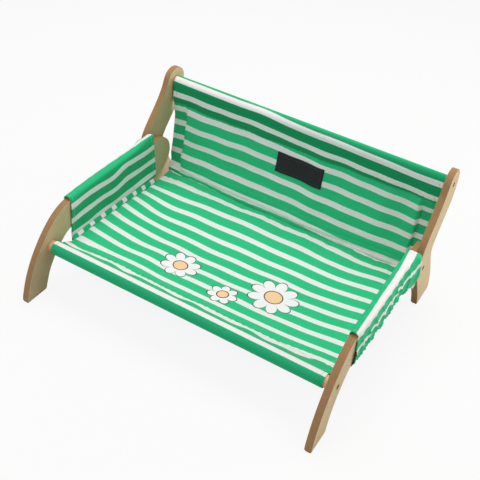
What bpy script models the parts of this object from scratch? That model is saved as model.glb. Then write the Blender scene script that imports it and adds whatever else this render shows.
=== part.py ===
"""Cat lounger: two pairs of shaped side boards, two round rods and a sewn striped cover.

Millimetre values are written as n * MM, because the scene is in metres. X runs across the chair,
+Y to its back and +Z up. The left half is the mirror of the right half.
"""

from math import cos, pi, sin

import bmesh
import bpy
from mathutils import Matrix, Vector

MM = 0.001
GAP = 0.3 * MM

# Frame
BOARD = 12 * MM
ARM_SPAN = 550 * MM
ARM_HEIGHT = 152 * MM
FRAME_DEPTH = 465 * MM
HEAD_HEIGHT = 265 * MM
EDGE_ROUND = 1.2 * MM
PAD = 2 * MM

# Rods and screws
ROD_RADIUS = 10 * MM
SCREW_RADIUS = 2 * MM
SCREW_HEAD_RADIUS = 4.5 * MM
SCREW_HEAD = 2.4 * MM
SCREW_SINK = 1.2 * MM
SCREW_LENGTH = 34 * MM
JOINT_SCREW_LENGTH = 21 * MM
SOCKET_RADIUS = 1.7 * MM
SOCKET_DEPTH = 1.4 * MM

# Cover
CLOTH = 2 * MM
SEAT_EDGE_CLEAR = 5 * MM
SEAT_DIP = 5.5 * MM
CREASE_PULL = 12 * MM
BACK_HOLLOW = 13 * MM
BACK_SIDE_HOLLOW = 6 * MM
BACK_EDGE_CLEAR = 2 * MM
HEM_WIDTH = 27 * MM
HEM_STEP = 12 * MM
SLEEVE_LOOSE = 2.7 * MM
SLEEVE_FLARE = 6 * MM
SEAM_OVERLAP = 4 * MM
SEAM_FALL = 11 * MM
LABEL_WIDTH = 97 * MM
LABEL_HEIGHT = 40 * MM
LABEL_THICK = 0.8 * MM
LABEL_SHIFT = 12 * MM

# Places that follow from the sizes above
ARM_OUTER = ARM_SPAN / 2
ARM_INNER = ARM_OUTER - BOARD
BACK_INNER = ARM_OUTER + GAP
BACK_OUTER = BACK_INNER + BOARD
SOLE = PAD + GAP
MIDDLE = FRAME_DEPTH / 2
FRONT_ROD = (0.135 * FRAME_DEPTH, 0.56 * ARM_HEIGHT)
FRONT_FOOT = (0.0, 0.101 * FRAME_DEPTH)
REAR_FOOT = (0.843 * FRAME_DEPTH, 0.962 * FRAME_DEPTH)
JOINT = (0.791 * FRAME_DEPTH, 0.684 * ARM_HEIGHT)
JOINT_LOBE = 0.263 * ARM_HEIGHT
HEAD_RADIUS = 27 * MM
TOP_ROD = (FRAME_DEPTH - HEAD_RADIUS, HEAD_HEIGHT - HEAD_RADIUS)
CREASE = (0.871 * FRAME_DEPTH, 0.365 * ARM_HEIGHT)
WRAP = ROD_RADIUS + GAP + 0.2 * MM + CLOTH / 2
SLEEVE_START = 0.245 * FRAME_DEPTH
SLEEVE_END = 0.722 * FRAME_DEPTH
SEAM_HEIGHT = 0.46 * ARM_HEIGHT


def clear_scene():
    for obj in list(bpy.data.objects):
        bpy.data.objects.remove(obj, do_unlink=True)


def collections():
    chair = bpy.data.collections.new("Cat lounger")
    bpy.context.scene.collection.children.link(chair)
    cutters = bpy.data.collections.new("Cutters")
    bpy.context.scene.collection.children.link(cutters)
    cutters.hide_render = True
    return chair, cutters


def material(name, colour, roughness, metallic=0.0):
    made = bpy.data.materials.new(name)
    made.use_nodes = True
    shader = made.node_tree.nodes["Principled BSDF"]
    shader.inputs["Base Color"].default_value = (*colour, 1.0)
    shader.inputs["Roughness"].default_value = roughness
    shader.inputs["Metallic"].default_value = metallic
    return made


def object_from(bm, name, where, made=None):
    """A bmesh as an object, its depth measured from the middle of the frame."""
    bmesh.ops.translate(bm, verts=bm.verts, vec=(0, -MIDDLE, 0))
    bmesh.ops.recalc_face_normals(bm, faces=bm.faces)
    mesh = bpy.data.meshes.new(name)
    bm.to_mesh(mesh)
    bm.free()
    obj = bpy.data.objects.new(name, mesh)
    where.objects.link(obj)
    if made:
        mesh.materials.append(made)
    return obj


def smooth(points, steps=5):
    """Points of a Catmull-Rom curve through the given ones."""
    ends = [2 * Vector(points[0]) - Vector(points[1])]
    tail = [2 * Vector(points[-1]) - Vector(points[-2])]
    p = ends + [Vector(v) for v in points] + tail
    out = []
    for i in range(1, len(p) - 2):
        a, b, c, d = p[i - 1 : i + 3]
        for k in range(steps):
            t = k / steps
            bend = 2 * a - 5 * b + 4 * c - d
            twist = 3 * b - a - 3 * c + d
            out.append(0.5 * (2 * b + (c - a) * t + bend * t**2 + twist * t**3))
    out.append(p[-2])
    return [(v.x, v.y) for v in out]


def arc(centre, radius, start, end, steps):
    """Points on a circle, angles in degrees from +Y towards +Z."""
    angles = [(start + (end - start) * k / steps) * pi / 180 for k in range(steps + 1)]
    return [(centre[0] + radius * cos(a), centre[1] + radius * sin(a)) for a in angles]


def on_frame(points, height):
    """Outline points given as shares of the frame depth and of a height."""
    return [(y * FRAME_DEPTH, z * height) for y, z in points]


def board(name, outline, inner, outer, where, made):
    """A flat board: its outline in the YZ plane, thick along X, with softened edges."""
    bm = bmesh.new()
    face = bm.faces.new([bm.verts.new((inner, y, z)) for y, z in outline])
    grown = bmesh.ops.extrude_face_region(bm, geom=[face])
    moved = [v for v in grown["geom"] if isinstance(v, bmesh.types.BMVert)]
    bmesh.ops.translate(bm, verts=moved, vec=(outer - inner, 0, 0))
    obj = object_from(bm, name, where, made)
    bevel = obj.modifiers.new("Softened edges", "BEVEL")
    bevel.width = EDGE_ROUND
    bevel.segments = 2
    bevel.limit_method = "ANGLE"
    bevel.angle_limit = 1.0
    return obj


def rod_between(name, centre, radius, start, end, where, made=None, sides=48):
    """A round bar along X from start to end."""
    bm = bmesh.new()
    bmesh.ops.create_cone(
        bm,
        cap_ends=True,
        segments=sides,
        radius1=radius,
        radius2=radius,
        depth=abs(end - start),
        matrix=Matrix.Rotation(pi / 2, 4, "Y"),
    )
    bmesh.ops.translate(bm, verts=bm.verts, vec=((start + end) / 2, *centre))
    return object_from(bm, name, where, made)


def cut(target, cutter):
    boolean = target.modifiers.new("Cut " + cutter.name, "BOOLEAN")
    boolean.operation = "DIFFERENCE"
    boolean.solver = "EXACT"
    boolean.object = cutter
    cutter.hide_render = True
    cutter.display_type = "WIRE"


def arm_outline():
    """Front leg, arm and the round lobe that overlaps the back board."""
    front = on_frame(
        [
            (0.000, SOLE / ARM_HEIGHT),
            (0.004, 0.105),
            (0.026, 0.325),
            (0.065, 0.555),
            (0.122, 0.775),
            (0.185, 0.925),
            (0.255, 0.985),
            (0.400, 1.000),
            (0.560, 1.000),
            (0.700, 0.975),
        ],
        ARM_HEIGHT,
    )
    lobe = arc(JOINT, JOINT_LOBE, 90, -125, 26)
    under = on_frame(
        [
            (0.690, 0.500),
            (0.655, 0.590),
            (0.590, 0.655),
            (0.450, 0.680),
            (0.330, 0.660),
            (0.235, 0.600),
            (0.172, 0.450),
            (0.128, 0.260),
            (0.106, 0.080),
            (0.101, SOLE / ARM_HEIGHT),
        ],
        ARM_HEIGHT,
    )
    return smooth(front) + lobe + smooth(under)


def back_outline():
    """Rear leg and the post that leans back, ending in a round head."""
    front = on_frame(
        [
            (0.843, SOLE / HEAD_HEIGHT),
            (0.826, 0.083),
            (0.802, 0.166),
            (0.775, 0.250),
            (0.750, 0.325),
            (0.733, 0.392),
            (0.727, 0.460),
            (0.735, 0.540),
            (0.755, 0.612),
            (0.785, 0.678),
            (0.818, 0.743),
            (0.850, 0.812),
            (0.873, 0.872),
        ],
        HEAD_HEIGHT,
    )
    head = arc(TOP_ROD, HEAD_RADIUS, 165, -8, 22)
    rear = on_frame(
        [
            (0.995, 0.815),
            (0.980, 0.745),
            (0.950, 0.680),
            (0.908, 0.600),
            (0.876, 0.535),
            (0.860, 0.480),
            (0.868, 0.410),
            (0.895, 0.320),
            (0.925, 0.225),
            (0.947, 0.130),
            (0.959, 0.050),
            (0.962, SOLE / HEAD_HEIGHT),
        ],
        HEAD_HEIGHT,
    )
    return smooth(front) + head + smooth(rear)


def frame_boards(side, sign, chair, made):
    arm = board("arm_board_" + side, arm_outline(), sign * ARM_INNER, sign * ARM_OUTER, chair, made)
    back = board("back_board_" + side, back_outline(), sign * BACK_INNER, sign * BACK_OUTER, chair, made)
    return arm, back


def foot_pad(name, front, rear, inner, outer, chair, made):
    """A thin pad under one foot."""
    inset = 1.5 * MM
    bm = bmesh.new()
    bmesh.ops.create_cube(bm, size=1)
    bmesh.ops.scale(bm, verts=bm.verts, vec=(abs(outer - inner) - 2 * inset, rear - front - 2 * inset, PAD))
    bmesh.ops.translate(bm, verts=bm.verts, vec=((inner + outer) / 2, (front + rear) / 2, PAD / 2))
    return object_from(bm, name, chair, made)


def screw(name, centre, outer, sign, length, chair, made):
    """A pan head screw along X, its head sunk into the outer face of a board."""
    seat = outer - SCREW_SINK
    steps = [
        (seat + 0.4 * MM, 0.0),
        (seat + 0.4 * MM, SCREW_HEAD_RADIUS * 0.62),
        (seat, SCREW_HEAD_RADIUS * 0.92),
        (seat - 0.5 * SCREW_HEAD, SCREW_HEAD_RADIUS),
        (seat - SCREW_HEAD, SCREW_HEAD_RADIUS),
        (seat - SCREW_HEAD, SCREW_RADIUS),
        (outer - length + 3 * MM, SCREW_RADIUS),
        (outer - length, 0.0),
    ]
    bm = bmesh.new()
    line = [bm.verts.new((sign * x, centre[0] + r, centre[1])) for x, r in steps]
    edges = [bm.edges.new(pair) for pair in zip(line, line[1:])]
    bmesh.ops.spin(
        bm,
        geom=line + edges,
        cent=(0, *centre),
        axis=(1, 0, 0),
        angle=2 * pi,
        steps=24,
        use_merge=True,
    )
    bmesh.ops.remove_doubles(bm, verts=bm.verts, dist=0.00001)
    return object_from(bm, name, chair, made)


def hex_socket(name, centre, outer, sign, cutters):
    seat = outer - SCREW_SINK
    return rod_between(
        name,
        centre,
        SOCKET_RADIUS,
        sign * (seat - SOCKET_DEPTH),
        sign * (seat + 2 * MM),
        cutters,
        sides=6,
    )


def screw_bore(name, centre, outer, sign, depth, cutters):
    """The clearance round one screw: a wide step for its head and a narrow one for its shank."""
    wide = rod_between(
        name + "_head",
        centre,
        SCREW_HEAD_RADIUS + GAP,
        sign * (outer - SCREW_SINK - SCREW_HEAD - GAP),
        sign * (outer + 1 * MM),
        cutters,
        sides=32,
    )
    narrow = rod_between(
        name + "_shank",
        centre,
        SCREW_RADIUS + GAP,
        sign * (outer - depth - 1 * MM),
        sign * outer,
        cutters,
        sides=24,
    )
    return wide, narrow


def ribbon(path, thickness):
    """The closed outline of a cloth strip whose middle line is the given path."""
    left, right = [], []
    for i, point in enumerate(path):
        before = Vector(path[max(i - 1, 0)])
        after = Vector(path[min(i + 1, len(path) - 1)])
        along = (after - before).normalized()
        across = Vector((-along.y, along.x)) * thickness / 2
        left.append(tuple(Vector(point) + across))
        right.append(tuple(Vector(point) - across))
    return left + right[::-1]


def swept(name, sections, where, made):
    """A closed body through sections that all have the same number of points."""
    bm = bmesh.new()
    rings = [[bm.verts.new(p) for p in section] for section in sections]
    count = len(rings[0])
    for first, second in zip(rings, rings[1:]):
        for k in range(count):
            bm.faces.new((first[k], first[(k + 1) % count], second[(k + 1) % count], second[k]))
    half = count // 2
    for ring in (rings[0], rings[-1]):
        for k in range(half - 1):
            bm.faces.new((ring[k], ring[k + 1], ring[count - 2 - k], ring[count - 1 - k]))
    return object_from(bm, name, where, made)


def spread(count):
    """Places from -1 to 1 across the cloth, closer together near its sides, where it bends most."""
    return [sin(pi / 2 * (-1 + 2 * k / count)) for k in range(count + 1)]


def crease_depth(share):
    """The crease bows forwards, because the seat pulls the middle of the cover."""
    return CREASE[0] - CREASE_PULL * (1 - share**2)


def seat_path(share):
    """The seat's middle line from the hem under the front rod, round the rod and back to the crease."""
    loop = arc(FRONT_ROD, WRAP, -52, -292, 19)
    start = Vector(loop[-1])
    end = Vector((crease_depth(share) - GAP, CREASE[1]))
    side = abs(share) ** 4.6
    tail = []
    for k in range(1, 13):
        t = (k / 12) ** 1.25
        sling = (start.y - end.y) * (1 - t) ** 5 - SEAT_DIP * sin(pi * t)
        seam = (SEAM_HEIGHT - end.y) * (1 - t) + (start.y - SEAM_HEIGHT) * (1 - t) ** 11
        tail.append((start.x + (end.x - start.x) * t, end.y + sling * (1 - side) + seam * side))
    return loop + tail


def seat_panel(chair, made):
    half = ARM_INNER - SEAT_EDGE_CLEAR
    sections = []
    for share in spread(16):
        outline = ribbon(seat_path(share), CLOTH)
        sections.append([(share * half, y, z) for y, z in outline])
    return swept("seat_panel", sections, chair, made)


def back_path(share):
    """The back's middle line from the crease up to the top rod and round it, hollowed backwards."""
    loop = arc(TOP_ROD, WRAP, 186, -40, 18)
    start = Vector((crease_depth(share) + CLOTH / 2 + GAP, CREASE[1] - CLOTH / 2))
    end = Vector(loop[0])
    hollow = BACK_HOLLOW + (BACK_SIDE_HOLLOW - BACK_HOLLOW) * abs(share) ** 3
    on_hem = abs(share) * ARM_INNER > ARM_INNER - HEM_WIDTH
    rise = []
    for k in range(14):
        t = k / 14
        depth = start.x + (end.x - start.x) * t**1.25 + hollow * sin(pi * t) ** 0.9
        if on_hem:
            depth += HEM_STEP * sin(pi * min(t / 0.75, 1)) ** 0.7
        rise.append((depth, start.y + (end.y - start.y) * t))
    return rise + loop


def back_panel(chair, made):
    sections = []
    low = ARM_INNER - SEAT_EDGE_CLEAR
    high = ARM_OUTER - BACK_EDGE_CLEAR
    top = TOP_ROD[1] + ROD_RADIUS
    for share in spread(16):
        section = []
        for y, z in ribbon(back_path(share), CLOTH):
            level = min(max((z - CREASE[1]) / (top - CREASE[1]), 0), 1)
            section.append((share * (high - (high - low) * (1 - level) ** 4), y, z))
        sections.append(section)
    return swept("back_panel", sections, chair, made)


def sleeve_path(sign, depth):
    """A section of the arm sleeve at one depth: up the inner side, over the arm, down and under it."""
    share = (depth - SLEEVE_START) / (SLEEVE_END - SLEEVE_START)
    inner = ARM_INNER - GAP - CLOTH / 2
    outer = ARM_OUTER + SLEEVE_LOOSE * (1 + sin(pi * share)) + SLEEVE_FLARE * share**4 + CLOTH / 2
    top = ARM_HEIGHT + 1.5 * MM + CLOTH / 2 + SLEEVE_LOOSE * share
    bottom = ARM_HEIGHT * (0.575 + 0.24 * share - 0.38 * share**2)
    seam = SEAM_HEIGHT - SEAM_OVERLAP - SEAM_FALL * share
    fold = 4 * MM
    points = [(inner, seam + (top - fold - seam) * k / 6) for k in range(7)]
    middle = (inner + outer) / 2
    points += [(inner + 1.5 * MM, top - 1 * MM), (middle, top), (outer - 1.5 * MM, top - 1 * MM)]
    wave = [0.0, 1.0, -0.4, 0.8, 0.0, 0.4]
    for k, shift in enumerate(wave):
        points.append((outer + shift * MM, top - fold + (bottom + 2 * fold - top) * k / 5))
    points += [(outer - 2 * MM, bottom), (middle, bottom - 0.5 * MM)]
    points.append((inner + CLOTH + 2 * MM, bottom + 0.5 * MM))
    return [(sign * x, depth, z) for x, z in points]


def arm_sleeve(side, sign, chair, made):
    sections = []
    count = 16
    for k in range(count + 1):
        depth = SLEEVE_START + (SLEEVE_END - SLEEVE_START) * k / count
        path = [(x, z) for x, _, z in sleeve_path(sign, depth)]
        sections.append([(x, depth, z) for x, z in ribbon(path, CLOTH)])
    return swept("arm_sleeve_" + side, sections, chair, made)


def label(chair, made):
    """A plain woven label on the front of the back panel."""
    middle = 0.62
    rise = back_path(0.0)[:14]
    height = rise[0][1] + (rise[-1][1] - rise[0][1]) * middle

    def front_of_cloth(z):
        for first, second in zip(rise, rise[1:]):
            if first[1] <= z <= second[1]:
                t = (z - first[1]) / (second[1] - first[1])
                return first[0] + (second[0] - first[0]) * t - CLOTH / 2 - GAP - 0.4 * MM
        return rise[-1][0]

    rows = 5
    levels = [height + LABEL_HEIGHT * (k / (rows - 1) - 0.5) for k in range(rows)]
    outline = [(front_of_cloth(z) - LABEL_THICK, z) for z in levels]
    outline += [(front_of_cloth(z), z) for z in reversed(levels)]
    sections = []
    for x in (LABEL_SHIFT - LABEL_WIDTH / 2, LABEL_SHIFT + LABEL_WIDTH / 2):
        sections.append([(x, y, z) for y, z in outline])
    return swept("label", sections, chair, made)


def build():
    clear_scene()
    chair, cutters = collections()
    wood = material("mdf_board", (0.62, 0.46, 0.27), 0.6)
    dowel = material("beech_rod", (0.70, 0.45, 0.26), 0.55)
    steel = material("dark_steel_screw", (0.09, 0.08, 0.07), 0.45, 0.9)
    rubber = material("dark_foot_pad", (0.04, 0.035, 0.03), 0.85)
    canvas = material("striped_canvas", (0.03, 0.45, 0.20), 0.9)
    woven = material("black_woven_label", (0.012, 0.012, 0.015), 0.8)

    front_rod = rod_between(
        "front_rod", FRONT_ROD, ROD_RADIUS, -ARM_INNER + GAP, ARM_INNER - GAP, chair, dowel
    )
    top_rod = rod_between(
        "top_rod", TOP_ROD, ROD_RADIUS, -ARM_OUTER, ARM_OUTER, chair, dowel
    )
    for side, sign in (("left", -1), ("right", 1)):
        arm, back = frame_boards(side, sign, chair, wood)
        ends = {
            "front": (FRONT_ROD, ARM_OUTER, SCREW_LENGTH, (arm, front_rod)),
            "joint": (JOINT, BACK_OUTER, JOINT_SCREW_LENGTH, (back, arm)),
            "top": (TOP_ROD, BACK_OUTER, SCREW_LENGTH, (back, top_rod)),
        }
        for place, (centre, outer, length, targets) in ends.items():
            name = place + "_screw_" + side
            made = screw(name, centre, outer, sign, length, chair, steel)
            cut(made, hex_socket(name + "_socket", centre, outer, sign, cutters))
            for cutter in screw_bore(name, centre, outer, sign, length, cutters):
                for target in targets:
                    cut(target, cutter)
        foot_pad("front_pad_" + side, *FRONT_FOOT, sign * ARM_INNER, sign * ARM_OUTER, chair, rubber)
        foot_pad("rear_pad_" + side, *REAR_FOOT, sign * BACK_INNER, sign * BACK_OUTER, chair, rubber)
        arm_sleeve(side, sign, chair, canvas)
    seat_panel(chair, canvas)
    back_panel(chair, canvas)
    label(chair, woven)


build()
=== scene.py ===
# %% [markdown]
# # A cat lounger with a sewn striped cover
# The frame of the lounger comes from its CAD model, already placed and sized. This file dresses it:
# real wood, steel and rubber finishes on the rigid parts, and cloth pieces with folds, seams and
# stitches in place of the plain CAD cloth. Lengths are in millimetres until a mesh is made.

# %% Load the frame
from math import acos, atan2, degrees, hypot, pi, radians, sin

import bpy
import numpy as np
from mathutils import Matrix, Vector


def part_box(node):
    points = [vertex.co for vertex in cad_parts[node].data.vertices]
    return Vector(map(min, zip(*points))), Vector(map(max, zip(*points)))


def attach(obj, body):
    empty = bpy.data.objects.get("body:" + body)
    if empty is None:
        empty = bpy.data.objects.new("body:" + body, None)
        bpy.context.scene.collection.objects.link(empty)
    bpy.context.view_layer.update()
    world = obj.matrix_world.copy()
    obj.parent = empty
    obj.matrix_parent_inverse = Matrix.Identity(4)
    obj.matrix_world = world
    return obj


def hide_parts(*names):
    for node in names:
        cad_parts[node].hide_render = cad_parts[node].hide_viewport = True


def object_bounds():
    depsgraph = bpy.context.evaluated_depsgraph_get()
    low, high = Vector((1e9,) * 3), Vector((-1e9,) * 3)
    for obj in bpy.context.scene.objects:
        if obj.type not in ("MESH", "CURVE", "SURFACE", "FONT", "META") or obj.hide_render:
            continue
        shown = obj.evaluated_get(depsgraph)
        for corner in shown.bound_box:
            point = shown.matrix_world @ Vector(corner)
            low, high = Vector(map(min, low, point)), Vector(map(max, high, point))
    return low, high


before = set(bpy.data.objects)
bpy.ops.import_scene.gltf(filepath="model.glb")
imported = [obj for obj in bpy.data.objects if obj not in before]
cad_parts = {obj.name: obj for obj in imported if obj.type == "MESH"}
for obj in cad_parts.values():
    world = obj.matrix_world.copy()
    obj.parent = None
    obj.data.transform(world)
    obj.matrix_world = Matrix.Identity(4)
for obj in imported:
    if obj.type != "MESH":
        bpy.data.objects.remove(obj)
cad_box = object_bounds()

MM = 0.001
print("nodes:", len(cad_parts))
print("CAD box in mm:", [round(v / MM, 1) for v in cad_box[1] - cad_box[0]])


# %% [markdown]
# ## Where things are
# Every place is read from the CAD nodes, so the cloth lands on the wood without fitting. Depth is
# counted from the front foot towards the back, because a chair maker measures a side board so.

# %% Places from the frame
FRONT = cad_box[0].y / MM
SIDES = (("left", -1), ("right", 1))


def middle(node):
    """A node's centre as (x, depth, height) in millimetres."""
    low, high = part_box(node)
    centre = (low + high) / 2 / MM
    return centre.x, centre.y - FRONT, centre.z


FRONT_ROD = middle("front_rod")[1:]
TOP_ROD = middle("top_rod")[1:]
ROD = (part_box("front_rod")[1].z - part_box("front_rod")[0].z) / MM / 2
ARM_LOW, ARM_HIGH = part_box("arm_board_right")
ARM_INNER = ARM_LOW.x / MM
ARM_OUTER = ARM_HIGH.x / MM
ARM_TOP = ARM_HIGH.z / MM
CLOTH = 1.1
WRAP = ROD + 0.5 + CLOTH / 2
print("rods at depth and height", FRONT_ROD, TOP_ROD, "radius", ROD)


# %% [markdown]
# ## Camera
# The photograph looks down on the seat from its front right, with a slight tilt of the camera. The
# sideways and upward shift stand for a picture that was cropped a little off its centre.

# %% Camera
IMAGE = 480
FOCAL_PIXELS = 857.4
CENTRE_PIXEL = (260.0, 160.0)
CAMERA_PLACE = (0.5268, -1.0089, 1.0333)
CAMERA_RIGHT = Vector((0.8621, 0.49813, 0.09297))
CAMERA_DOWN = Vector((0.3442, -0.44101, -0.82888))


def new_object(name, data):
    """An object in the scene that shows the given data."""
    made = bpy.data.objects.new(name, data)
    bpy.context.scene.collection.objects.link(made)
    return made


def make_camera():
    data = bpy.data.cameras.new("Camera")
    data.sensor_width = 36
    data.lens = FOCAL_PIXELS / IMAGE * data.sensor_width
    data.shift_x = (IMAGE / 2 - CENTRE_PIXEL[0]) / IMAGE
    data.shift_y = (CENTRE_PIXEL[1] - IMAGE / 2) / IMAGE
    camera = new_object("Camera", data)
    right = CAMERA_RIGHT.normalized()
    back = right.cross(-CAMERA_DOWN).normalized()
    up = back.cross(right)
    turn = Matrix((right, up, back)).transposed().to_4x4()
    camera.matrix_world = Matrix.Translation(CAMERA_PLACE) @ turn
    bpy.context.scene.camera = camera
    return camera


camera = make_camera()
shift = round(camera.data.shift_x, 3), round(camera.data.shift_y, 3)
print("lens", round(camera.data.lens, 1), "shift", shift)


# %% [markdown]
# ## A small kit for materials
# Colours are written as hex values, and one function turns them into the linear numbers that Blender
# mixes. Another adds a node with its settings and its inputs, so a material reads from top to bottom
# like a recipe. The rest are short names for the nodes used most.

# %% Colour and node helpers
def linear(hex_colour):
    """An sRGB hex value as a linear RGBA colour."""
    parts = [int(hex_colour[i : i + 2], 16) / 255 for i in (1, 3, 5)]
    return [p / 12.92 if p <= 0.04045 else ((p + 0.055) / 1.055) ** 2.4 for p in parts] + [1.0]


def add(tree, kind, inputs=None, **settings):
    """A new node. Its inputs are given by name or number, each a value, a hex colour or a socket."""
    made = tree.nodes.new(kind)
    for key, value in settings.items():
        setattr(made, key, value)
    for key, value in (inputs or {}).items():
        if isinstance(value, bpy.types.NodeSocket):
            tree.links.new(value, made.inputs[key])
        else:
            made.inputs[key].default_value = linear(value) if isinstance(value, str) else value
    return made


def new_material(name, roughness, **shader_values):
    """A material with its tree and its Principled shader."""
    made = bpy.data.materials.new(name)
    made.use_nodes = True
    tree = made.node_tree
    shader = tree.nodes["Principled BSDF"]
    shader.inputs["Roughness"].default_value = roughness
    for key, value in shader_values.items():
        shader.inputs[key.replace("_", " ")].default_value = value
    return made, tree, shader


def mix_colour(tree, share, first, second, **settings):
    """A colour between two, by a share that is a number or a socket."""
    made = add(tree, "ShaderNodeMix", {0: share, 6: first, 7: second}, data_type="RGBA", **settings)
    return made.outputs[2]


def maths(tree, operation, *values):
    """The result of a maths node, fed by numbers or sockets."""
    return add(tree, "ShaderNodeMath", dict(enumerate(values)), operation=operation).outputs[0]


def ramp(tree, value, *ends, **settings):
    """A value carried from one range to another: from low and high, then to low and high."""
    return add(tree, "ShaderNodeMapRange", dict(enumerate((value, *ends))), **settings).outputs[0]


def object_place(tree):
    """Where a point lies on its own object."""
    return add(tree, "ShaderNodeTexCoord").outputs["Object"]


def noise(tree, place, size, detail=2.0, stretch=(1.0, 1.0, 1.0)):
    """Soft random blotches of about the given size in millimetres."""
    if stretch != (1.0, 1.0, 1.0):
        place = add(tree, "ShaderNodeMapping", {"Vector": place, "Scale": stretch}).outputs[0]
    inputs = {"Vector": place, "Scale": 1 / (size * MM), "Detail": detail}
    return add(tree, "ShaderNodeTexNoise", inputs).outputs[0]


def paint(tree, shader, share, first, second):
    """Colours a shader with a mix of two colours."""
    tree.links.new(mix_colour(tree, share, first, second), shader.inputs["Base Color"])


def roughen(tree, shader, height, strength, depth):
    """Fine relief under a shader, its depth in millimetres."""
    bump = add(tree, "ShaderNodeBump", {"Strength": strength, "Distance": depth * MM, "Height": height})
    tree.links.new(bump.outputs[0], shader.inputs["Normal"])


print("mid grey in linear:", round(linear("#808080")[0], 3))


# %% [markdown]
# ## Floor and light
# The lounger stands on pale card. A wide soft lamp hangs over it, a weaker one fills from the front
# and a third stands low behind its right side, so the outer faces of the right boards are the
# brightest wood. To the camera the card glows: it looks nearly white and keeps the feet's shadow.

# %% Floor, world and lamps
CARD_GLOW = 0.88
ROOM_LIGHT = 0.42


def make_floor():
    bpy.ops.mesh.primitive_plane_add(size=14, location=(0, 0, 0))
    floor = bpy.context.object
    floor.name = "Floor"
    made, tree, shader = new_material("White card", 0.9, Base_Color=linear("#DEDEDD"))
    path = add(tree, "ShaderNodeLightPath")
    seen = maths(tree, "MULTIPLY", path.outputs["Is Camera Ray"], CARD_GLOW)
    glow = add(tree, "ShaderNodeEmission", {"Color": (1, 1, 1, 1), "Strength": 1.0})
    blend = add(tree, "ShaderNodeMixShader", {0: seen, 1: shader.outputs[0], 2: glow.outputs[0]})
    tree.links.new(blend.outputs[0], tree.nodes["Material Output"].inputs["Surface"])
    floor.data.materials.append(made)


def make_world():
    world = bpy.data.worlds.new("Studio")
    bpy.context.scene.world = world
    world.use_nodes = True
    tree = world.node_tree
    tree.nodes.clear()
    path = add(tree, "ShaderNodeLightPath")
    seen = maths(tree, "MAXIMUM", path.outputs["Is Camera Ray"], path.outputs["Is Glossy Ray"])
    room = add(tree, "ShaderNodeBackground", {"Color": "#F6F7FA", "Strength": ROOM_LIGHT})
    white = add(tree, "ShaderNodeBackground", {"Color": (1, 1, 1, 1), "Strength": 1.0})
    blend = add(tree, "ShaderNodeMixShader", {0: seen, 1: room.outputs[0], 2: white.outputs[0]})
    add(tree, "ShaderNodeOutputWorld", {"Surface": blend.outputs[0]})


def lamp(name, place, aim, size, watts, tint):
    data = bpy.data.lights.new(name, "AREA")
    data.shape = "RECTANGLE"
    data.size, data.size_y = size
    data.energy = watts
    data.color = linear(tint)[:3]
    made = new_object(name, data)
    made.location = place
    made.rotation_euler = (Vector(aim) - Vector(place)).to_track_quat("-Z", "Y").to_euler()


make_floor()
make_world()
lamp("Overhead softbox", (-0.1, 0.45, 1.7), (0, 0.0, 0.1), (1.5, 1.1), 19, "#FFFDF9")
lamp("Front fill", (-0.35, -1.25, 1.45), (0, 0.1, 0.15), (1.1, 0.9), 7.5, "#FDFEFF")
lamp("Rear right softbox", (1.45, 0.95, 0.45), (0.1, 0, 0.15), (0.8, 0.6), 11, "#FFFCF6")
bpy.context.scene.view_settings.view_transform = "Standard"


# %% [markdown]
# ## Side boards in MDF
# The boards are medium density fibreboard, cut with a router. The pressed faces are pale and even
# with fine flecks, and the routed edge is open fibre, darker and rougher. They are told apart by
# which way the surface faces, because both sides of the lounger stand upright.

# %% MDF
def sideways(tree):
    """How squarely the surface faces left or right, from 0 to 1."""
    normal = add(tree, "ShaderNodeTexCoord").outputs["Normal"]
    return maths(tree, "ABSOLUTE", add(tree, "ShaderNodeSeparateXYZ", {0: normal}).outputs[0])


def fibreboard():
    made, tree, shader = new_material("Routed MDF", 0.62)
    place = object_place(tree)
    face = ramp(tree, sideways(tree), 0.80, 0.97, interpolation_type="SMOOTHSTEP")
    flecks = noise(tree, place, 1.3, detail=3.0)
    clouds = noise(tree, place, 38, detail=4.0)
    layers = noise(tree, place, 9, detail=5.0, stretch=(9.0, 1.0, 1.0))

    fleck_share = ramp(tree, flecks, 0.52, 0.70, 0.0, 0.42)
    pale = mix_colour(tree, clouds, "#BFA57A", "#D2BC93")
    pale = mix_colour(tree, fleck_share, pale, "#A98A5C")
    open_fibre = mix_colour(tree, layers, "#8E6A42", "#B48C5E")
    open_fibre = mix_colour(tree, fleck_share, open_fibre, "#6F5132")
    paint(tree, shader, face, open_fibre, pale)
    tree.links.new(ramp(tree, face, 0.0, 1.0, 0.82, 0.55), shader.inputs["Roughness"])
    roughen(tree, shader, flecks, strength=ramp(tree, face, 0.0, 1.0, 0.45, 0.14), depth=0.35)
    return made


def pairs(*names):
    """The left and the right node of each name."""
    return [f"{name}_{side}" for name in names for side, _ in SIDES]


def finish_nodes(names, made):
    """Puts one material on CAD nodes that keep their shape."""
    for name in names:
        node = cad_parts[name]
        node.data.materials.clear()
        node.data.materials.append(made)
    print(made.name, "on", ", ".join(names))


finish_nodes(pairs("arm_board", "back_board"), fibreboard())


# %% [markdown]
# ## Rods in beech
# Two turned dowels hold the sides together. Beech is a pinkish, close grained wood. Noise that is
# stretched along the dowel gives its short dark flecks, and rings colour the sawn ends.

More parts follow.
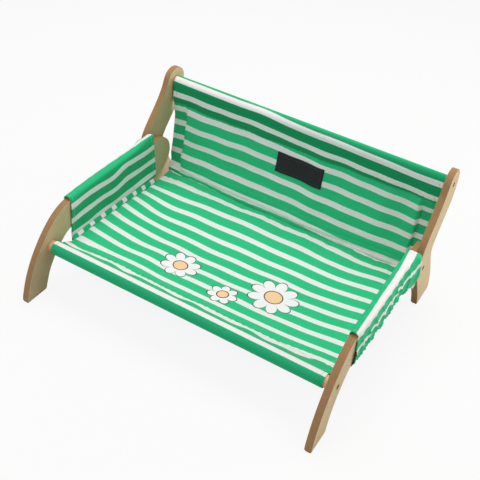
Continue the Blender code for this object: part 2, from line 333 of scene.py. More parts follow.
# %% Beech
def beech():
    made, tree, shader = new_material("Turned beech", 0.5)
    place = object_place(tree)
    sawn = maths(tree, "GREATER_THAN", sideways(tree), 0.9)
    grain = noise(tree, place, 1.8, detail=4.0, stretch=(0.06, 1.0, 1.0))
    long_way = mix_colour(tree, grain, "#C98F5E", "#EBBE92")
    inputs = {"Vector": place, "Scale": 1 / (14 * MM), "Distortion": 1.5}
    rings = add(tree, "ShaderNodeTexWave", inputs, wave_type="RINGS", rings_direction="X")
    cut_end = mix_colour(tree, rings.outputs["Fac"], "#C58A58", "#DDAA7C")
    paint(tree, shader, sawn, long_way, cut_end)
    roughen(tree, shader, grain, strength=0.25, depth=0.2)
    return made


finish_nodes(("front_rod", "top_rod"), beech())


# %% [markdown]
# ## Screws and foot pads
# The joint screws are steel with a black oxide finish, a thin dark skin that keeps some shine and
# is rubbed bright where the hex key has turned. The pads under the feet are dense dark rubber, matt
# and slightly grained.

# %% Steel and rubber
def black_oxide_steel():
    made, tree, shader = new_material("Black oxide steel", 0.42, Metallic=0.85)
    rubbed = noise(tree, object_place(tree), 2.2, detail=3.0)
    bright = ramp(tree, rubbed, 0.5, 0.75)
    paint(tree, shader, bright, "#2B2724", "#5E5650")
    roughen(tree, shader, rubbed, strength=0.2, depth=0.1)
    return made


def pad_rubber():
    made, tree, shader = new_material("Dark foot rubber", 0.86)
    grain = noise(tree, object_place(tree), 0.9)
    paint(tree, shader, grain, "#2A2521", "#46403A")
    roughen(tree, shader, grain, strength=0.5, depth=0.3)
    return made


finish_nodes(pairs("front_screw", "joint_screw", "top_screw"), black_oxide_steel())
finish_nodes(pairs("front_pad", "rear_pad"), pad_rubber())


# %% [markdown]
# ## Striped canvas
# The cover is a cotton twill canvas with white stripes woven into mint green. The stripes and the
# weave follow the cloth through every fold, so the material reads a UV map named Weave that holds
# real distances in metres. Twill has diagonal ribs about a millimetre apart. They are drawn 2.4 mm
# apart, because finer ribs would vanish in the picture. Where the cloth is double or lies on a board
# its green is darkened as painted shade, and a second UV map, Backed shade, says how much.

# %% Canvas
STRIPE_PITCH = 31.0
STRIPE_WHITE = 11.4
STRIPE_BLUR = 0.35
RIB = 2.4
# The tint of the painted shade on double or backed cloth. It darkens the green only.
BACKED_SHADE_TINT = (0.03, 0.54, 0.47, 1.0)


def weave_parts(tree, rib=RIB):
    """The place on the cloth, its length alone, the twill's ribs and the thread's unevenness."""
    place = add(tree, "ShaderNodeUVMap", uv_map="Weave").outputs[0]
    parts = add(tree, "ShaderNodeSeparateXYZ", {0: place})
    slant = maths(tree, "ADD", parts.outputs[0], parts.outputs[1])
    wave = maths(tree, "SINE", maths(tree, "MULTIPLY", slant, 2 * pi / (rib * MM)))
    slub = noise(tree, place, 1.1, stretch=(0.12, 1.0, 1.0))
    return place, parts.outputs[1], ramp(tree, wave, -1.0, 1.0), slub


def striped_canvas(name, first_stripe=None):
    made, tree, shader = new_material(
        name, 0.9, Sheen_Weight=0.06, Sheen_Roughness=0.5, Specular_IOR_Level=0.25
    )
    place, run, ribs, slub = weave_parts(tree)
    nudge = ramp(tree, noise(tree, place, 2.5), 0.0, 1.0, -0.5 * MM, 0.5 * MM)
    # Ping-pong at half a pitch gives the distance to the nearest stripe's middle line.
    apart = maths(tree, "PINGPONG", maths(tree, "ADD", run, nudge), STRIPE_PITCH / 2 * MM)
    half = STRIPE_WHITE / 2
    share = ramp(tree, apart, (half + STRIPE_BLUR) * MM, (half - STRIPE_BLUR) * MM)
    if first_stripe is not None:
        begun = maths(tree, "GREATER_THAN", run, first_stripe * MM)
        share = maths(tree, "MULTIPLY", share, begun)

    drift = noise(tree, place, 55, detail=3.0)
    green = mix_colour(tree, drift, "#06AE6F", "#12BB7B")
    # The ribs lighten the green on their crests and grey the white between them. This is partly the
    # threads' own colour and partly painted highlight and shade of the ribs' relief.
    green = mix_colour(tree, ribs, green, "#38CE94")
    white = mix_colour(tree, drift, "#F1EFED", "#FBFAF8")
    white = mix_colour(tree, ribs, "#E2DFDD", white)
    # Painted shade: the green is darkened where the cloth is double or lies on a board.
    layers = add(tree, "ShaderNodeUVMap", uv_map="Layers").outputs[0]
    backed_shade = add(tree, "ShaderNodeSeparateXYZ", {0: layers}).outputs[0]
    green = mix_colour(tree, backed_shade, green, BACKED_SHADE_TINT, blend_type="MULTIPLY")
    paint(tree, shader, share, green, white)
    roughen(tree, shader, maths(tree, "ADD", ribs, slub), strength=0.28, depth=0.35)
    return made, tree, shader


canvas = striped_canvas("Striped twill canvas")[0]
print("stripe pitch", STRIPE_PITCH, "mm, white part", STRIPE_WHITE, "mm")


# %% [markdown]
# ## How a sheet of cloth is made here
# Each cloth piece is a fine grid of points. Rows of points follow the cloth across the lounger and
# columns follow its length, so the distances along them are the cloth's own measure and become its
# UV map. Folds are added along the surface's normal, and Solidify gives the sheet its thickness. The
# folds in this cover come from how it is sewn and pulled, so they are placed one by one.

# %% Cloth helpers
def smooth_line(points, at):
    """A smooth curve through a few points, read at the given places."""
    p = np.array(points, float)
    slope = np.gradient(p[:, 1], p[:, 0])
    k = np.clip(np.searchsorted(p[:, 0], at) - 1, 0, len(p) - 2)
    width = p[k + 1, 0] - p[k, 0]
    t = np.clip((at - p[k, 0]) / width, 0, 1)
    a, b = p[k, 1], p[k + 1, 1]
    m, n = slope[k] * width, slope[k + 1] * width
    first = a * (2 * t**3 - 3 * t**2 + 1) + m * (t**3 - 2 * t**2 + t)
    return first + b * (3 * t**2 - 2 * t**3) + n * (t**3 - t**2)


def straight_line(points, at):
    """The same with straight runs between the points."""
    return np.interp(at, *zip(*points))


def waves(distance, length):
    """The angle that a wave of the given length has turned through."""
    return distance * 2 * pi / length


def bell(value, centre, width):
    """A bump that is 1 at its centre."""
    return np.exp(-(((value - centre) / width) ** 2))


def step(value, start, end):
    """A soft rise from 0 at the start to 1 at the end."""
    t = np.clip((value - start) / (end - start), 0, 1)
    return t * t * (3 - 2 * t)


def run_along(line):
    """Distance along a line of points, from its first."""
    return np.r_[0, np.cumsum(np.linalg.norm(np.diff(line, axis=0), axis=1))]


def point_at(line, distance):
    """The point of a (depth, height) line that lies at the given distance along it."""
    run = run_along(line)
    return np.array([np.interp(distance, run, line[:, k]) for k in (0, 1)])


def wander(a, b, seed):
    """A smooth uneven wave between -1 and 1, from two running distances."""
    first = np.sin(a + 1.7 * np.sin(b * 0.61 + seed) + seed)
    second = np.sin(1.73 * a - 0.9 * b + 2.1 * seed)
    return 0.6 * first + 0.4 * second


def measured(points):
    """Distance along each column of the grid, from its first row."""
    gaps = np.linalg.norm(np.diff(points, axis=0), axis=2)
    return np.vstack([np.zeros(points.shape[1]), np.cumsum(gaps, axis=0)])


def folded(points, height):
    """The grid moved along its normals by a height in millimetres."""
    down = np.gradient(points, axis=0)
    across = np.gradient(points, axis=1)
    normal = np.cross(across, down)
    normal /= np.linalg.norm(normal, axis=2, keepdims=True)
    return points + normal * height[..., None]


def cloth_piece(name, points, across, along, material, thickness=CLOTH, backed_shade=None):
    """A sheet from a grid of (x, depth, height) points, with its UV map in metres."""
    rows, columns = points.shape[:2]
    place = points.copy()
    place[..., 1] += FRONT
    index = np.arange(rows * columns).reshape(rows, columns)
    faces = np.stack([index[:-1, :-1], index[1:, :-1], index[1:, 1:], index[:-1, 1:]], axis=-1)
    faces = faces.reshape(-1, 4)
    mesh = bpy.data.meshes.new(name)
    mesh.from_pydata((place.reshape(-1, 3) * MM).tolist(), [], faces.tolist())
    maps = {"Weave": np.stack([across, along], axis=-1) * MM}
    # The second UV map carries the painted shade of double or backed cloth.
    if backed_shade is not None:
        maps["Layers"] = np.stack([backed_shade, backed_shade], axis=-1)
    for title, values in maps.items():
        layer = mesh.uv_layers.new(name=title)
        layer.data.foreach_set("uv", values.reshape(-1, 2)[faces.reshape(-1)].reshape(-1))
    mesh.materials.append(material)
    mesh.shade_smooth()
    made = new_object(name, mesh)
    wall = made.modifiers.new("Cloth thickness", "SOLIDIFY")
    wall.thickness = thickness * MM
    wall.offset = 0
    return made


def folded_panel(flat, folds, along, sewn, panel, flap, hem=None):
    """A panel with its folds. Its casing's hidden flap moves too, and stays behind the stitches."""
    print("folds from", round(float(folds.min()), 1), "to", round(float(folds.max()), 1), "mm")
    points = folded(flat, folds)
    columns = np.arange(points.shape[1])
    row = panel.start + np.abs(along[panel] - sewn).argmin(axis=0)
    pull = points[row, columns] - flat[row, columns]
    if hem is not None:
        pull[:, 1] += hem[row, columns]
    points[flap] += np.linspace(1, 0, len(points[flap]) + 1)[:-1, None, None] * pull
    return points


def from_table(table, widths, lengths, x, y):
    """A smooth value at every point, from a small table of rows measured across the cloth."""
    lengths = np.array(lengths, float)
    rows = np.stack([smooth_line(list(zip(widths, row)), x) for row in table])
    k = np.clip(np.searchsorted(lengths, y) - 1, 0, len(lengths) - 2)
    t = np.clip((y - lengths[k]) / (lengths[k + 1] - lengths[k]), 0, 1)
    low = np.take_along_axis(rows, k[None], 0)[0]
    high = np.take_along_axis(rows, k[None] + 1, 0)[0]
    return low + (high - low) * t


def arc(centre, radius, start, end, steps):
    """Points on a circle, with angles in degrees from the back towards the top."""
    angle = np.radians(np.linspace(start, end, steps + 1))
    return np.stack([centre[0] + radius * np.cos(angle), centre[1] + radius * np.sin(angle)], axis=1)


def touch_angle(centre, radius, point, turn):
    """The angle at which a straight run of cloth from a point first touches a rod."""
    away = np.array(point) - centre
    return degrees(atan2(away[1], away[0])) + turn * degrees(acos(radius / hypot(*away)))


# %% [markdown]
# ## Seat
# The seat hangs like a sling. Its front edge goes round the front rod and back to a line of stitches
# under the seat, so the casing is shaped like a drop. Behind it the seat falls about 20 mm, mostly
# near the side seams: a height line for the middle and one for the sides give its shape, and a steep
# power of the width blends them. At the back it turns down into a seam.

# %% Seat shape
CREASE_MIDDLE, CREASE_SIDE, CREASE_HEIGHT = 393.0, 405.0, 56.0
SEAM_DEPTH = 9.0
# Angles on the front rod where the seat leaves it and where the stripe pattern begins.
LEAVE_ANGLE = 55
PATTERN_ANGLE = 78
# The casing's stitches, measured from the start of the pattern, and the rows of the flap below them.
CASING_LINE = 46.0
SEAT_FLAP = 9
SEAT_MIDDLE_LINE = [(96, 76), (125, 65), (155, 59), (186, 54.5), (217, 52), (248, 50.5), (279, 51)]
SEAT_MIDDLE_LINE += [(310, 53.5), (341, 57), (372, 60)]
SEAT_SIDE_LINE = [(86, 80), (118, 70), (157, 69), (218, 66), (281, 61.5), (329, 58), (372, 56)]
PATTERN_START = radians(PATTERN_ANGLE - LEAVE_ANGLE) * WRAP


def seat_half(depth):
    """Half the seat's width, which is least on the rod and most at the crease."""
    return np.interp(depth, [105, 118, 340, 395], [254.5, 256, 256, 258])


def crease_depth(share):
    """The depth of the crease, which bends back towards both sides."""
    return CREASE_MIDDLE + (CREASE_SIDE - CREASE_MIDDLE) * np.abs(share) ** 2


def seat_column(share, rows=150):
    """From the hidden stitches round the rod to the rear seam, and the row that leaves the rod."""
    leave = arc(FRONT_ROD, WRAP, LEAVE_ANGLE, LEAVE_ANGLE, 1)[0]
    end = crease_depth(share)
    t = np.linspace(0, 1, rows + 1)
    depth = leave[0] + (end - 1.5 - leave[0]) * (1 - (1 - t) ** 1.35)
    middle_line = smooth_line([tuple(leave)] + SEAT_MIDDLE_LINE + [(end, CREASE_HEIGHT)], depth)
    side_line = smooth_line([tuple(leave)] + SEAT_SIDE_LINE + [(end, CREASE_HEIGHT - 0.5)], depth)
    height = middle_line + (side_line - middle_line) * abs(share) ** 4.6
    top = np.stack([depth, height], axis=1)
    low = height[-1]
    fin = np.array([(end - 0.4, low - 0.5), (end, low - 2), (end, low - 5), (end, low - SEAM_DEPTH)])
    sewn = point_at(top, CASING_LINE - PATTERN_START) - (0.5, 1.9)
    start = touch_angle(FRONT_ROD, WRAP, sewn, -1)
    round_rod = arc(FRONT_ROD, WRAP, start, LEAVE_ANGLE - 360, 28)
    flap = np.linspace(sewn, round_rod[0], SEAT_FLAP + 1)[:-1]
    return np.vstack([flap, round_rod[:-1], top, fin]), len(flap) + len(round_rod) - 1


def seat_grid(columns=176):
    points = []
    for share in np.linspace(-1, 1, columns):
        column, leave_row = seat_column(share)
        points.append(np.column_stack([share * seat_half(column[:, 0]), column]))
    return np.stack(points, axis=1), leave_row


seat_points, LEAVE_ROW = seat_grid()
seat_along = measured(seat_points)
seat_along -= seat_along[LEAVE_ROW] - PATTERN_START
seat_across = seat_points[..., 0].copy()
print("seat cloth", round(2 * float(seat_across.max())), "x", round(float(np.ptp(seat_along[:, 88]))), "mm")


# %% [markdown]
# ## Folds in the seat
# Each fold has a cause. The casing stitches pull a dent and pinch short puckers beside it. Behind
# the rod the cloth waves where the casing draws it in. The side seams gather it every 15 mm, and
# fine creases run along the backrest seam, with larger gathers in both rear corners.

# %% Seat folds
def seat_folds(points, along):
    x, depth = points[..., 0], points[..., 1]
    half = seat_half(depth)
    to_crease = crease_depth(x / half) - depth
    edge = half - np.abs(x)
    height = -1.1 * bell(along, CASING_LINE, 2.0)
    height += 0.8 * bell(along, CASING_LINE, 10) * wander(waves(x, 12), along / 9, 0.4)
    height += 1.6 * bell(along, 27, 14) * wander(waves(x, 92), along / 8, 1.9)
    height += 1.3 * step(along, 50, 110) * wander(waves(x, 150), waves(along, 170), 0.9)
    height += 1.2 * np.exp(-edge / 16) * wander(waves(along, 15), x / 14, 2.3) * step(edge, 0, 5)
    close = step(to_crease, 0.5, 4)
    creases = 0.9 * step(to_crease, 24, 12) * close * np.sin(waves(to_crease, 4.6) + np.sin(x / 31))
    height += creases * step(x, -90, -20)
    height += 1.5 * np.exp(-to_crease / 20) * close * wander(waves(x, 31), to_crease / 9, 3.1)
    corner = step(np.abs(x), 215, 240) * step(edge, 0, 6) * step(to_crease, 34, 12)
    height += 2.4 * corner * close * wander(waves(x, 17), to_crease / 7, 0.7)
    return height * step(along, 4, 16)


CASING_ROWS = slice(LEAVE_ROW, LEAVE_ROW + 60)
folds = seat_folds(seat_points, seat_along)
seat_points = folded_panel(seat_points, folds, seat_along, CASING_LINE, CASING_ROWS, slice(0, SEAT_FLAP))


# %% [markdown]
# ## Side seams and stripes of the seat
# A strip of a few columns at both sides stands up as the seam beside the sleeves, and elsewhere is a
# hem turned down. A hand sewn cover is never pulled evenly, so a small table says how far the
# stripes have drifted towards the back at ten places across the seat, row by row.

# %% Seat seams and stripes
# The columns of a strip, and how far its stripes lag behind those of the seat.
STRIP = 6
STRIP_SLIP = 9.0


def with_seam_strip(points, across, along):
    """The seat with its strips: a raised seam beside the sleeves, a hem, and flat cloth on the rod."""
    edge_depth = points[:, 0, 1]
    sewn = step(edge_depth, 106, 118) * step(edge_depth, 362, 350)
    free = step(along[:, 0], 8, 18)
    sewn[:LEAVE_ROW] = 0
    free[:LEAVE_ROW] = 0
    rise = np.interp(edge_depth, [118, 350], [5.5, 8.5])
    groove = bell(np.abs(points[..., 0]), seat_half(points[..., 1]), 2.6) * sewn[:, None]
    points[..., 2] -= 1.5 * groove
    extra, extra_across = [], []
    for k in range(1, STRIP + 1):
        u = k / STRIP
        out = (5.2 * u * sewn) + (1 - sewn) * (0.3 * u + free * 0.9 * sin(pi * u * 0.8))
        up = (rise * u**0.85) * sewn - (1 - sewn) * free * 3.4 * u
        extra.append((out, up))
        extra_across.append(u * (rise * sewn + 2.5))
    rims = []
    for column, way in ((0, -1), (-1, 1)):
        x, y, z = points[:, column].T
        rims.append([np.column_stack([x + way * out, y, z + up]) for out, up in extra])
    left, right = np.stack(rims[0][::-1], axis=1), np.stack(rims[1], axis=1)
    points = np.concatenate([left, points, right], axis=1)
    more = np.stack(extra_across, axis=1)
    across = np.concatenate([across[:, :1] - more[:, ::-1], across, across[:, -1:] + more], axis=1)
    ends = [along[:, [k]].repeat(STRIP, 1) - STRIP_SLIP * sewn[:, None] for k in (0, -1)]
    return points, across, np.concatenate([ends[0], along, ends[1]], axis=1)


seat_points, seat_across, seat_along = with_seam_strip(seat_points, seat_across, seat_along)
SEAT_DRIFT = [
    (0, 0, 0, 0, 0, 0, 0, 0, 0, 0),
    (-3, 5, 7, 2, 3.6, 6, 6.6, 8.5, 12.5, 23),
    (5.5, 4.2, 6.5, 4, 4.4, 4.6, 6.8, 6.8, 10, 13.8),
    (4.2, 4.4, 5.8, 3.4, 6, 6.6, 8.6, 8.6, 10, 13),
    (4.4, 5.6, 5.6, 3.2, 5.6, 6, 7.6, 9.2, 10.4, 11.8),
    (5, 0.8, 4.8, 4.4, 7.2, 4.4, 7.4, 7.2, 6.9, 13.4),
    (-1.4, 0.8, 5.4, 7.8, 6.6, 5.6, 7.2, 0.8, 4.4, 12.2),
    (9, 6, 5.6, 5.6, 8.2, 8, 9.6, 6.2, 1.4, 6.6),
]
DRIFT_WIDTHS = [-225, -175, -125, -75, -25, 25, 75, 125, 175, 225]
SEAT_DEPTHS = [82, 105, 135, 165, 225, 285, 345, 385]
seat_pattern = seat_along + bell(seat_along, 33, 9) * wander(waves(seat_across, 105), seat_along / 40, 0.6)
seat_pattern -= from_table(SEAT_DRIFT, DRIFT_WIDTHS, SEAT_DEPTHS, seat_across, seat_points[..., 1])
# The casing and both strips are double cloth, and their green gets painted shade.
seat_backed_shade = 0.3 * step(seat_along, 24, 8) + 0.18 * step(seat_along, CASING_LINE + 2, CASING_LINE - 2)
for strip in (slice(0, STRIP), slice(-STRIP, None)):
    seat_backed_shade[:, strip] = np.maximum(seat_backed_shade[:, strip], 0.4)
print("grid of the seat:", seat_points.shape[:2])


# %% [markdown]
# ## A print on the seat
# A printed motif of three daisies lies on the front half of the seat, in white and peach with a
# dark outline. One node group draws a daisy from its centre, size and number of petals: the petal
# edge is a wave of the angle, and the distance from that edge gives the outline and the fill.

# %% Daisy print
def node_group(name, kind, sockets, result):
    """An empty node group with named inputs, one of which comes out again as its result."""
    tree = bpy.data.node_groups.new(name, kind)
    for title, socket in sockets.items():
        tree.interface.new_socket(title, in_out="INPUT", socket_type="NodeSocket" + socket)
    tree.interface.new_socket(result, in_out="OUTPUT", socket_type="NodeSocket" + sockets[result])
    return tree, tree.nodes.new("NodeGroupInput").outputs


PRINT_LINE = 0.9
PRINT_BLUR = 0.2


def daisy_group():
    sockets = {"Place": "Vector", "Colour": "Color"}
    sockets |= {name: "Float" for name in ("Centre X", "Centre Y", "Radius", "Petals", "Turn")}
    tree, given = node_group("Daisy", "ShaderNodeTree", sockets, "Colour")
    centre = add(tree, "ShaderNodeCombineXYZ", {0: given["Centre X"], 1: given["Centre Y"]})
    inputs = {0: given["Place"], 1: centre.outputs[0]}
    offset = add(tree, "ShaderNodeVectorMath", inputs, operation="SUBTRACT").outputs[0]
    parts = add(tree, "ShaderNodeSeparateXYZ", {0: offset}).outputs
    away = add(tree, "ShaderNodeVectorMath", {0: offset}, operation="LENGTH").outputs["Value"]
    angle = maths(tree, "ADD", maths(tree, "ARCTAN2", parts[1], parts[0]), given["Turn"])
    half_petals = maths(tree, "MULTIPLY", given["Petals"], 0.5)
    wave = maths(tree, "COSINE", maths(tree, "MULTIPLY", angle, half_petals))
    petal = maths(tree, "POWER", maths(tree, "ABSOLUTE", wave), 0.45)
    edge = maths(tree, "MULTIPLY", given["Radius"], maths(tree, "MULTIPLY_ADD", petal, 0.52, 0.48))
    inside = maths(tree, "SUBTRACT", edge, away)
    heart = maths(tree, "SUBTRACT", maths(tree, "MULTIPLY", given["Radius"], 0.33), away)

    fills = [(inside, 0, "#20201F"), (inside, 2 * PRINT_LINE, "#F3F1F2")]
    fills += [(heart, -2 * PRINT_LINE, "#20201F"), (heart, 0, "#F6CF9E")]
    colour = given["Colour"]
    for distance, start, fill in fills:
        share = ramp(tree, distance, (start - PRINT_BLUR) * MM, (start + PRINT_BLUR) * MM)
        colour = mix_colour(tree, share, colour, fill)
    add(tree, "NodeGroupOutput", {"Colour": colour})
    return tree


# Each daisy's place across and along the cloth, its radius, its number of petals and its turn.
DAISIES = [(-78, 118, 36, 8, 0.2), (22, 92, 27, 7, 0.9), (92, 140, 45, 9, 0.5)]


def printed_canvas():
    made, tree, shader = striped_canvas("Printed twill canvas", first_stripe=-STRIPE_PITCH / 2)
    place = add(tree, "ShaderNodeUVMap", uv_map="Weave").outputs[0]
    colour = shader.inputs["Base Color"].links[0].from_socket
    group = daisy_group()
    for x, along, radius, petals, turn in DAISIES:
        inputs = {"Place": place, "Colour": colour, "Centre X": x * MM, "Centre Y": along * MM}
        inputs |= {"Radius": radius * MM, "Petals": petals, "Turn": turn}
        colour = add(tree, "ShaderNodeGroup", inputs, node_tree=group).outputs["Colour"]
    tree.links.new(colour, shader.inputs["Base Color"])
    return made


seat = cloth_piece(
    "seat_cloth", seat_points, seat_across, seat_pattern, printed_canvas(), backed_shade=seat_backed_shade
)
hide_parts("seat_panel")
print("daisies:", len(DAISIES))


# %% [markdown]
# ## Backrest
# The backrest rises from the seam, leans back, folds over the top rod and comes down behind itself
# to a line of stitches. It is slack, so it hollows backwards. Along each side a hem, 27 mm wide,
# stays behind the panel near the bottom, where the seat pulls it forwards: the stripes jump there.

# %% Backrest shape
BACK_HALF_LINE = [(45, 262), (60, 263.5), (85, 269), (150, 270), (215, 272), (240, 273.5), (262, 273.5)]
HEM = 27.0
HEM_BEHIND = 10.5
# The stitches, measured up from the seam, and the rows of the flap behind the panel.
BACK_SEWN = 144.0
BACK_FLAP = 11
BACK_FIRST_STRIPE = 6.0


def back_column(share, rows=104):
    """Up the panel, over the rod and down behind, with the rows where the panel starts and ends."""
    low = CREASE_HEIGHT - 0.6
    start = np.array([crease_depth(share) + 1.4, low - 1.5])
    round_rod = arc(TOP_ROD, WRAP, 186, 90, 14)
    touch = round_rod[0]
    t = np.linspace(0, 1, rows + 1)[:-1] ** 1.12
    hollow = (13 - 7 * abs(share) ** 3) * np.sin(pi * t) ** 0.9
    depth = start[0] + (touch[0] - start[0]) * t**1.25 + hollow
    height = start[1] + (touch[1] - start[1]) * t
    panel = np.stack([depth, height], axis=1)
    sewn = point_at(panel, BACK_SEWN) + (3.9, 0.5)
    leave = touch_angle(TOP_ROD, WRAP, sewn, 1)
    over = np.vstack([round_rod, arc(TOP_ROD, WRAP, 90, leave, 18)[1:]])
    flap = np.linspace(over[-1], sewn, BACK_FLAP + 1)[1:]
    fin = np.array([(start[0], low - SEAM_DEPTH), (start[0], low - 5.0)])
    return np.vstack([fin, panel, over, flap]), len(fin), len(fin) + len(panel)


def back_grid():
    """The panel's grid, with how far the hems stay behind, and the rows where it starts and ends."""
    fine = np.linspace(0, 1, 100)
    share = np.interp(fine, [0, 0.66, 0.86, 1], [0, 0.875, 0.93, 1])
    share = np.r_[-share[:0:-1], share]
    points = []
    for s in share:
        column, first, last = back_column(s)
        height = column[:, 1]
        half = straight_line(BACK_HALF_LINE, height)
        soft = np.interp(height, [140, 190], [2.6, 12]) / 2
        behind = HEM_BEHIND * step(half * (1 - abs(s)), HEM + soft, HEM - soft) * step(height, 205, 165)
        behind *= step(height, CREASE_HEIGHT - 2, CREASE_HEIGHT + 20)
        behind[last:] = 0
        points.append(np.column_stack([s * half, column, behind]))
    return np.stack(points, axis=1), first, last


back_points, BACK_START, BACK_TOP = back_grid()
back_points, hem_step = back_points[..., :3], back_points[..., 3]
back_across = back_points[..., 0].copy()
back_along = measured(back_points)
back_along -= back_along[BACK_START]
back_points[..., 1] += hem_step


# %% [markdown]
# ## Folds and stripes of the backrest
# Loose waves run up the panel, the casing's stitches pull a dent, and close creases gather above the
# seam. The hidden flap follows the panel, and a second table places the stripes. The hems and the
# part over the rod are double, so their green is darkened as painted shade.

# %% Backrest folds and stripes
def back_folds(points, along):
    x = points[..., 0]
    swell = -3.0 * np.sin(pi * np.clip(along / 190, 0, 1)) ** 0.7
    height = swell * wander(waves(x, 112), along / 70, 0.5)
    height -= 2.5 * bell(along, BACK_SEWN, 9) + 1.2 * bell(along, BACK_SEWN, 3)
    height += 1.8 * bell(along, 62, 18) * np.sin(x / 85 + 0.6)
    near = np.exp(-along / 16) * step(along, 0, 6)
    creases = 1.1 * np.sin(waves(along, 11) + np.sin(x / 39))
    height += near * (1.5 * wander(waves(x, 31), along / 9, 4.2) + creases)
    height += 0.8 * bell(along, BACK_SEWN, 9) * wander(waves(x, 12), along / 7, 1.2)
    row = np.arange(len(points))[:, None]
    return height * step(along, 0, 6) * step(row, BACK_TOP, BACK_TOP - 9)


BACK_DRIFT = [
    (5, 7.4, 6, 7, 8.2, 7.5, 4, 0.8, 1.2, 0.6),
    (1.8, 5.6, 5.8, 8.3, 6.2, 4.8, 1.4, -0.2, -0.8, -3),
    (2.9, 5.1, 6, 8.5, 4.7, 2.2, 0.2, -0.8, -2.4, -5.5),
    (4.2, 4.2, 4.2, 5.3, 1.2, -1, -1.4, -3.4, -5, -8),
]
BACK_HEIGHTS = [80, 130, 175, 225]
BACK_ROWS = slice(BACK_START, BACK_TOP)
BACK_FLAP_ROWS = slice(-1, -1 - BACK_FLAP, -1)
folds = back_folds(back_points, back_along)
back_points = folded_panel(back_points, folds, back_along, BACK_SEWN, BACK_ROWS, BACK_FLAP_ROWS, hem_step)
back_edge = straight_line(BACK_HALF_LINE, back_points[..., 2]) - np.abs(back_across)
# Painted shade on the double casing above the stitches, less over the rod, and on the hems.
back_backed_shade = step(back_along, BACK_SEWN - 1.5, BACK_SEWN + 1.5) * (1 - 0.7 * step(back_along, 195, 212))
back_backed_shade = np.maximum(back_backed_shade, 0.3 * step(back_edge, HEM + 1.5, HEM - 1.5))
back_pattern = back_along - BACK_FIRST_STRIPE
back_pattern -= from_table(BACK_DRIFT, DRIFT_WIDTHS, BACK_HEIGHTS, back_across, back_points[..., 2])
back = cloth_piece("backrest_cloth", back_points, back_across, back_pattern, canvas, backed_shade=back_backed_shade)
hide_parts("back_panel")
print("grid of the backrest:", back_points.shape[:2])


# %% [markdown]
# ## Arm sleeves
# Each arm board wears a sleeve: a loop of cloth that goes up its inner side from the seat seam,
# over the top, and down its outer side, where it turns in under the arm. The loop's section is a
# short list of points that changes along the arm, and its rear end is cut aslant.

# %% Sleeve shape
SLEEVES = {
    "left": {"start": 113, "ends": (360, 348, 336, 336), "flare": 9.5, "bulge": 2.0},
    "right": {"start": 107.5, "ends": (345, 330, 334, 338), "flare": 2.0, "bulge": 12.0},
}
SLEEVE_HEM = [(0, 87), (0.3, 93), (0.6, 93), (0.8, 94), (1, 96)]


def sleeve_section(share, flare, bulge):
    """One section of the loop, from the seat seam up, over and round to under the arm."""
    inner = ARM_INNER - 0.6
    outer = ARM_OUTER + 1.7 + 3.0 * sin(pi * share) + bulge * step(share, 0.72, 1.0)
    top = ARM_TOP + 1.8 + 1.8 * share
    lift = flare * step(share, 0.75, 1.0)
    hem = straight_line(SLEEVE_HEM, share)
    corners = [(inner - 0.8, 64), (inner, 84), (inner, 114), (inner, top - 8 + lift * 0.7)]
    corners += [(inner + 1.0, top - 2.2 + lift), (inner + 3.6, top - 0.3 + lift)]
    corners += [((inner + outer) / 2, top + lift * 0.9), (outer - 3.2, top - 0.6 + lift * 0.5)]
    corners += [(outer - 0.6, top - 3.0 + lift * 0.4), (outer, top - 9)]
    corners += [(outer + 1.4, (top + hem) / 2), (outer + 0.6, hem + 7), (outer - 1.0, hem + 1.0)]
    corners += [(outer - 4.0, hem), (inner + 4.0, hem + 1.0)]
    return np.array(corners)


def sleeve_grid(sign, start, ends, flare, bulge, columns=120, rows=104):
    """The loop's sections side by side, as columns from the arm's front to its rear."""
    points = []
    for share in np.linspace(0, 1, columns):
        c = sleeve_section(share, flare, bulge)
        run = run_along(c)
        at = np.linspace(0, run[-1], rows)
        x = smooth_line(list(zip(run, c[:, 0])), at)
        z = smooth_line(list(zip(run, c[:, 1])), at)
        end = np.interp(at, [0, run[4], run[8], run[-1]], ends)
        points.append(np.column_stack([sign * x, start + (end - start) * share, z]))
    return np.stack(points, axis=1)


flat_sleeves = {side: sleeve_grid(sign, **SLEEVES[side]) for side, sign in SIDES}
print("sleeve grids:", [points.shape[:2] for points in flat_sleeves.values()])


# %% [markdown]
# ## Folds and stripes of the sleeves
# The inner walls are nearly smooth. Outside, the cloth is bunched up loosely above its hem. The
# stripes run along the arm, and lie closer where the cloth is gathered.

# %% Sleeve folds and stripes
# Distance from the seam, then the place in the stripe pattern.
SLEEVE_PATTERN = {
    "left": [(0, -11), (84, 73), (97, 82), (200, 185)],
    "right": [(0, -11), (85, 74), (97.5, 87.2), (111, 98.8), (131, 117.6)],
}
SLEEVE_PATTERN["right"] += [(138.5, 130), (165, 147), (200, 170)]


def sleeve_folds(points, along, sign):
    depth, z = points[..., 1], points[..., 2]
    outside = step(along, 104, 114) * step(z, 58, 68)
    wall = step(along, 4, 20) * step(along, 90, 72)
    height = 1.6 * wall * wander(waves(depth, 115), along / 22, 0.8 + sign)
    height += 0.6 * bell(along, 97, 7) * wander(waves(depth, 30), along / 9, 2.0)
    crooked = depth + 5 * np.sin(along / 13) + 3 * np.sin(depth / 21)
    fold = 1 - 2 * np.abs(np.sin(pi * crooked / 25)) ** 0.7
    grow = 0.45 + 0.55 * step(along, 108, 140)
    height += outside * grow * (2.3 * fold + 0.9 * np.sin(waves(along, 19) + depth / 17))
    return np.maximum(height, -0.9)


def sleeve_pattern(points, along, side):
    """The place in the pattern, with the pull that bends the stripes and the bunching's zigzag."""
    share = np.linspace(0, 1, points.shape[1])[None, :]
    wall = step(along, 10, 80) * step(along, 100, 86)
    pull = 3.6 * wall * (bell(share, 0.45, 0.10) - bell(share, 0.62, 0.10))
    depth = points[..., 1] + 4 * np.sin(points[..., 1] / 17)
    zigzag = 3.2 * step(along, 108, 124) * (2 * np.abs(2 * ((depth / 33) % 1) - 1) - 1)
    return straight_line(SLEEVE_PATTERN[side], along) + pull + zigzag


